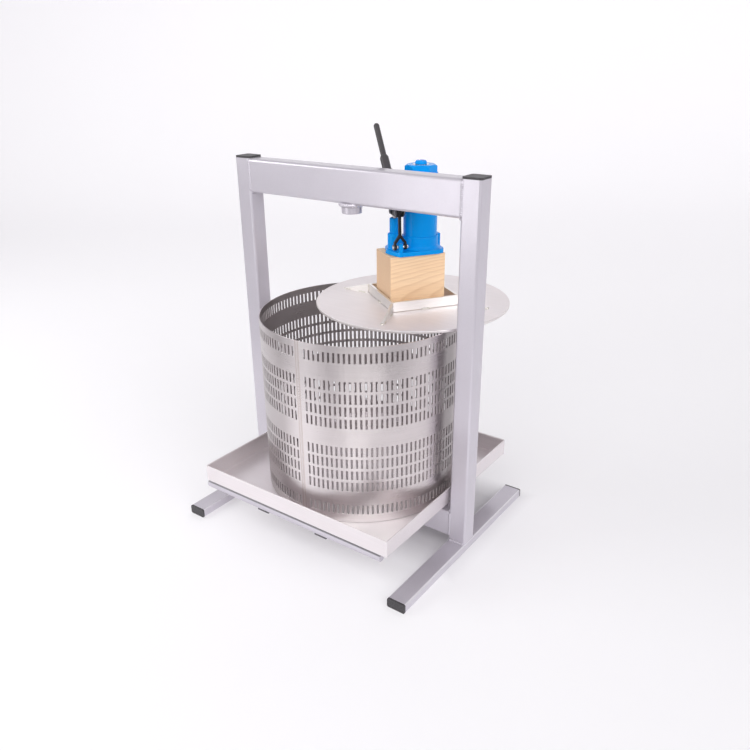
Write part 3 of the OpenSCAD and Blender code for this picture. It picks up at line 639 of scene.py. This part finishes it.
# ------------------------------------------------------------------ basket
BX, BR, BT, BZ, BH = 20.0, 212.0, 2.0, 104.0, 379.0
SLOTS, SW, SL, SEAM = 131, 4.0, 20.0, -88.5
SLOT_A0 = SEAM + math.degrees(17/BR)
SLOT_STEP = (360 - math.degrees(27.5/BR))/(SLOTS - 1)
ROWS = [29, 82, 108, 134, 160, 221, 247, 273, 299, 355.5]
CH = 0.28


def basket_mesh():
    bm = bmesh.new()
    ro, ri = BR, BR - BT
    half_deg = math.degrees((SW/2 + CH)/BR)
    angles, kinds = [], []
    for i in range(SLOTS):
        a = SLOT_A0 + i*SLOT_STEP
        angles += [a - half_deg, a + half_deg]
        kinds += [("slot", a), ("web", a)]
    first, last = angles[0] + 360, angles[-1]
    for k in range(1, 6):
        angles.append(last + (first - last)*k/6)
        kinds.append(("web", last))
    heights = [CH]
    for z in ROWS:
        heights += [z - SL/2 - CH, z + SL/2 + CH]
    heights.append(BH - CH)

    def pt(a, r, z):
        t = math.radians(a)
        return bm.verts.new((BX + r*math.cos(t), r*math.sin(t), BZ + z))

    grid = {}
    for lay, r in (("o", ro), ("i", ri)):
        for k, a in enumerate(angles):
            for j, z in enumerate(heights):
                grid[lay, k, j] = pt(a, r, z)
    n = len(angles)
    for k in range(n):
        k2 = (k + 1) % n
        kind, a = kinds[k]
        for j in range(len(heights) - 1):
            hole = kind == "slot" and j % 2 == 1
            o = [grid["o", k, j], grid["o", k2, j], grid["o", k2, j + 1], grid["o", k, j + 1]]
            q = [grid["i", k, j], grid["i", k2, j], grid["i", k2, j + 1], grid["i", k, j + 1]]
            if not hole:
                bm.faces.new(o)
                bm.faces.new(list(reversed(q)))
                continue
            dz = math.degrees((SW/2)/BR)
            z0, z1 = ROWS[j//2] - SL/2, ROWS[j//2] + SL/2
            mids = []
            for r in (ro - CH, ri + CH):
                mids.append([pt(a - dz, r, z0), pt(a + dz, r, z0), pt(a + dz, r, z1), pt(a - dz, r, z1)])
            for u, v in ((o, mids[0]), (mids[0], mids[1]), (mids[1], q)):
                for e in range(4):
                    bm.faces.new((u[e], u[(e + 1) % 4], v[(e + 1) % 4], v[e]))
    top = len(heights) - 1
    for j, z in ((0, 0.0), (top, BH)):
        rim = {(lay, k): pt(a, r, z) for lay, r in (("o", ro - CH), ("i", ri + CH)) for k, a in enumerate(angles)}
        for k in range(n):
            k2 = (k + 1) % n
            bm.faces.new((grid["o", k, j], grid["o", k2, j], rim["o", k2], rim["o", k]))
            bm.faces.new((rim["o", k], rim["o", k2], rim["i", k2], rim["i", k]))
            bm.faces.new((rim["i", k], rim["i", k2], grid["i", k2, j], grid["i", k, j]))
    t = math.radians(SEAM)
    for r, sgn in ((ro + 0.1, 1), (ri - 0.1, -1)):
        x, y = BX + r*math.cos(t), r*math.sin(t)
        merge(bm, bead([(x, y, BZ + 0.8), (x, y, BZ + BH - 0.8)], 1.5, 2.4, (math.cos(t)*sgn, math.sin(t)*sgn, 0), 10, wobble=0.05, squash=0.42))
    return bm


piece("slotted_basket", basket_mesh(), BASKET, "basket", ("basket",), sharp=32)

# ------------------------------------------------------------------ press plate
prof = rounded([(0, DISC_Z), (206, DISC_Z), (206, DISC_TOP), (0, DISC_TOP)], [0, 0.8, 0.8, 0], 4, False)
piece("press_plate_disc", lathe(prof, 192, mat=Matrix.Translation((73, 112, 0))), DISC, "plate", ("press_disc",), sharp=50)

bm = bmesh.new()
BAR_Z = DISC_TOP + 1.2


def corner(k):
    """Where a gusset stands (turn at the frame's corner) and how far it reaches."""
    dev, reach = ((0, 62), (-7, 62), (9.5, 74), (0, 62))[k]
    turn = Matrix.Rotation(math.radians(45 + 90*k), 4, "Z") @ Matrix.Translation((74.5*math.sqrt(2), 0, 0))
    return PLATE @ turn @ Matrix.Rotation(math.radians(dev), 4, "Z"), reach


for k in range(4):
    turn = PLATE @ Matrix.Rotation(math.radians(90*k), 4, "Z")
    merge(bm, block(69.5, 74.5, -74.45, 69.4, BAR_Z, BAR_Z + 20, 0.55, 2, turn))
piece("locating_bars", bm, BARS, "plate", ("locating_frame",))
bm = bmesh.new()
for k in range(4):
    turn = PLATE @ Matrix.Rotation(math.radians(90*k), 4, "Z")
    merge(bm, bead([(74.9, -9, DISC_TOP + 0.7), (74.9, 9, DISC_TOP + 0.7)], 2.5, 3.2, (1, 0, 0.7), mat=turn))
    merge(bm, bead([(69.1, -8, DISC_TOP + 0.7), (69.1, 8, DISC_TOP + 0.7)], 2.2, 3.2, (-1, 0, 0.7), mat=turn))
    merge(bm, bead([(74.4, -74.4, BAR_Z + 1), (74.4, -74.4, BAR_Z + 19)], 1.6, 2.6, (1, -1, 0), mat=turn))
    g, reach = corner(k)
    for w in (-2.9, 2.9):
        merge(bm, bead([(7, w, DISC_TOP + 0.4), (25, w, DISC_TOP + 0.4)], 1.8, 2.8, (0, math.copysign(1, w), 0.8), mat=g))
        merge(bm, bead([(reach - 17, w, DISC_TOP + 0.4), (reach - 3, w, DISC_TOP + 0.4)], 1.7, 2.8, (0, math.copysign(1, w), 0.8), mat=g))
    merge(bm, bead([(reach + 0.4, -3, DISC_TOP + 0.6), (reach + 0.4, 3, DISC_TOP + 0.6)], 2.6, 2.8, (1, 0, 0.8), mat=g))
piece("plate_welds", bm, TACK, "plate", (), sharp=70, weighted=False)
bm = bmesh.new()
UPR = Matrix(((1, 0, 0, 0), (0, 0, -1, 0), (0, 1, 0, 0), (0, 0, 0, 1)))
for k in range(4):
    g, reach = corner(k)
    g = g @ Matrix.Translation((0, 0, DISC_TOP)) @ UPR
    out = rounded([(-0.4, 0.02), (reach, 0.02), (reach, 2.5), (2.1, 20.7), (-0.4, 20.7)], [0, 0, 1.0, 2.0, 0], 3)
    merge(bm, prism(out, -2.5, 2.5, 0.5, 2, g))
piece("corner_gussets", bm, BARS, "plate", ("gussets",))

# ------------------------------------------------------------------ wooden block
wood = block(-66, 54, -43, 43, 488.6, 593.6, 1.6, 4, PLATE)
piece("spacer_block", wood, PINE, "block", ("wood_block",))

# ------------------------------------------------------------------ jack
cast("jack_casting", ("jack_base",), BLUE_CAST, "jack", 0.8, 7)
softened("reservoir_tube", "jack_reservoir", BLUE, "jack", 0.5, 2)
softened("top_hex_nut", "jack_top_nut", BLUE, "jack", 0.7, 3)
softened("pump_barrel", "pump_cylinder", BLUE, "jack", 0.4, 2)
softened("screw_saddle", "extension_screw", SADDLE, "screw", 0.5, 2)
cast("fork_link", ("pump_link",), BLACK, "link", 0.45, 4)
cast("socket_forging", ("handle_socket",), BLACK, "socket", 0.5, 4)
softened("lower_handle", "handle_lower", ROD, "handle", 0.5, 2)
softened("upper_handle", "handle_upper", ROD, "handle", 0.4, 2)
softened("lug_pin", "link_pin", STEEL, "jack", 0.5, 2)
softened("socket_pivot_pins", "socket_pins", DARK, "socket", 0.5, 2)
softened("pump_rod", "pump_plunger", STEEL, "plunger", 0.4, 2)
softened("ram_rod", "jack_ram", STEEL, "ram", 0.4, 2)
softened("valve_screw", "release_valve", DARK, "valve", 0.4, 2)
softened("oil_filler_plug", "filler_plug", SEAL, "jack", 0.5, 2)

rest = {"jack_cylinder": STEEL, "check_balls": STEEL, "link_clip": DARK, "socket_clips": DARK, "nut_wiper": SEAL,
        "ram_seal": SEAL, "valve_ring": SEAL, "plunger_seal": SEAL, "passage_plug": BRASS}
for n, mat_ in rest.items():
    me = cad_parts[n].data
    for i in range(max(1, len(me.materials))):
        if len(me.materials):
            me.materials[i] = mat_
        else:
            me.materials.append(mat_)

# ------------------------------------------------------------------ stage, light, camera
def sheet_floor(name, prof, left, right, base, glow, turn, drop=0.0, spread=0.0):
    """A flat or swept background sheet, wider at its left back by spread; glow keeps a light-table white under the lights."""
    fm, nt, sh = material(name)
    c = coords(nt)
    put(nt, sh, color=mix(nt, noise(nt, c, 3, 2, 0.5), tuple(v*0.985 for v in base), base), rough=0.7, spec=0.15)
    if glow:
        # painted shade under the press: no glow there, so the floor stays darker beneath it
        sep = node(nt, "ShaderNodeSeparateXYZ", {"Vector": c})
        off_x = span(nt, maths(nt, "ABSOLUTE", sep.outputs[0]), 0.0, glow, 0.25, 0.33)
        off_y = span(nt, maths(nt, "ABSOLUTE", maths(nt, "SUBTRACT", sep.outputs[1], 0.08)), 0.0, glow, 0.12, 0.20)
        sh.inputs["Emission Color"].default_value = (0.992, 0.98, 1.0, 1)
        # painted light: the glow grows towards the back of the sheet
        far = node(nt, "ShaderNodeVectorMath", {0: c, 1: (-0.588, 0.809, 0.0)}, operation="DOT_PRODUCT").outputs["Value"]
        near = maths(nt, "MAXIMUM", off_x, off_y)
        nt.links.new(maths(nt, "MULTIPLY", near, span(nt, far, 0.92, 1.24, -0.5, 1.6)), sh.inputs["Emission Strength"])
    bm = bmesh.new()
    cols = [[bm.verts.new((-left - spread*max(0.0, y + 0.66), y, z - drop)), bm.verts.new((right, y, z - drop))] for y, z in prof]
    for a, b in zip(cols, cols[1:]):
        bm.faces.new((a[0], a[1], b[1], b[0]))
    bm.transform(Matrix.Rotation(math.radians(turn), 4, "Z"))
    me = bpy.data.meshes.new(name)
    bm.to_mesh(me)
    bm.free()
    me.polygons.foreach_set("use_smooth", [True]*len(me.polygons))
    me.materials.append(fm)
    ob = bpy.data.objects.new(name, me)
    SCENE.collection.objects.link(ob)
    return ob


SWEEP = [(-0.86, 0.0), (3.2, 0.0)] + [(3.2 + 1.6*math.sin(math.radians(a)), 1.6 - 1.6*math.cos(math.radians(a))) for a in range(10, 91, 10)] + [(4.8, 7.0)]
sheet_floor("paper_sweep", SWEEP, 0.74, 9.0, (0.75, 0.742, 0.756), 0.24, 36, spread=0.49)
sheet_floor("studio_floor", [(-14.0, 0.0), (14.0, 0.0)], 14.0, 14.0, (0.44, 0.435, 0.445), 0.0, 36, drop=0.002)

# the room: bright on the right of the camera, softer above, dim elsewhere
world = bpy.data.worlds.new("studio")
SCENE.world = world
world.use_nodes = True
wnt = world.node_tree
bg = wnt.nodes["Background"]
bg.inputs[0].default_value = (0.99, 0.975, 1.0, 1)
way = node(wnt, "ShaderNodeTexCoord").outputs["Generated"]
glow = None
for toward, power, tight in (((0.588, -0.809, 0.0), 0.22, 1.0), ((0.0, 0.0, 1.0), 0.48, 1.0), ((-0.809, -0.588, 0.0), 0.03, 1.0), ((0.9, -0.41, 0.15), 2.15, 5.0)):
    lobe = node(wnt, "ShaderNodeVectorMath", {0: way, 1: toward}, operation="DOT_PRODUCT").outputs["Value"]
    lobe = maths(wnt, "MULTIPLY", maths(wnt, "POWER", maths(wnt, "MAXIMUM", lobe, 0.0), tight), power)
    glow = lobe if glow is None else maths(wnt, "ADD", glow, lobe)
wnt.links.new(maths(wnt, "ADD", glow, 0.02), bg.inputs[1])


def area(name, loc, aim, size, power, col=(1, 1, 1), size_y=None):
    l = bpy.data.lights.new(name, "AREA")
    l.energy = power
    l.color = col
    l.shape = "RECTANGLE"
    l.size = size
    l.size_y = size_y or size
    ob = bpy.data.objects.new(name, l)
    SCENE.collection.objects.link(ob)
    ob.location = loc
    ob.rotation_euler = (Vector(aim) - Vector(loc)).to_track_quat("-Z", "Y").to_euler()
    return ob


area("right_front", (2.523, -0.629, 2.0), (0, 0, 0.4), 1.6, 11.2)
area("left_side", (-2.103, -1.528, 1.5), (0, 0, 0.4), 1.6, 27.0)
area("beam_front", (0.40, -1.15, 1.4), (0.12, 0, 0.6), 0.7, 6.0)
area("front_box", (-0.9, -2.2, 0.5), (0.1, 0, 0.55), 0.9, 6.0)
area("floor_card", (0.676, -0.930, 0.012), (0.676, -0.930, 1.0), 0.8, 1.65)

cam = bpy.data.cameras.new("camera")
cam.lens = 35.47
cam.sensor_width = 36
cam.clip_start, cam.clip_end = 0.05, 60
co = bpy.data.objects.new("camera", cam)
SCENE.collection.objects.link(co)
az, el, roll = math.radians(36.0), math.radians(23.49), math.radians(-0.55)
back = Vector((math.sin(az)*math.cos(el), -math.cos(az)*math.cos(el), math.sin(el)))
right = Vector((math.cos(az), math.sin(az), 0))
up = right.cross(-back)
r2 = right*math.cos(roll) + up*math.sin(roll)
u2 = up*math.cos(roll) - right*math.sin(roll)
m = Matrix((r2, u2, back)).transposed().to_4x4()
m.translation = (0.9009, -1.1673, 0.9715)
co.matrix_world = m
SCENE.camera = co
SCENE.view_settings.view_transform = "Standard"
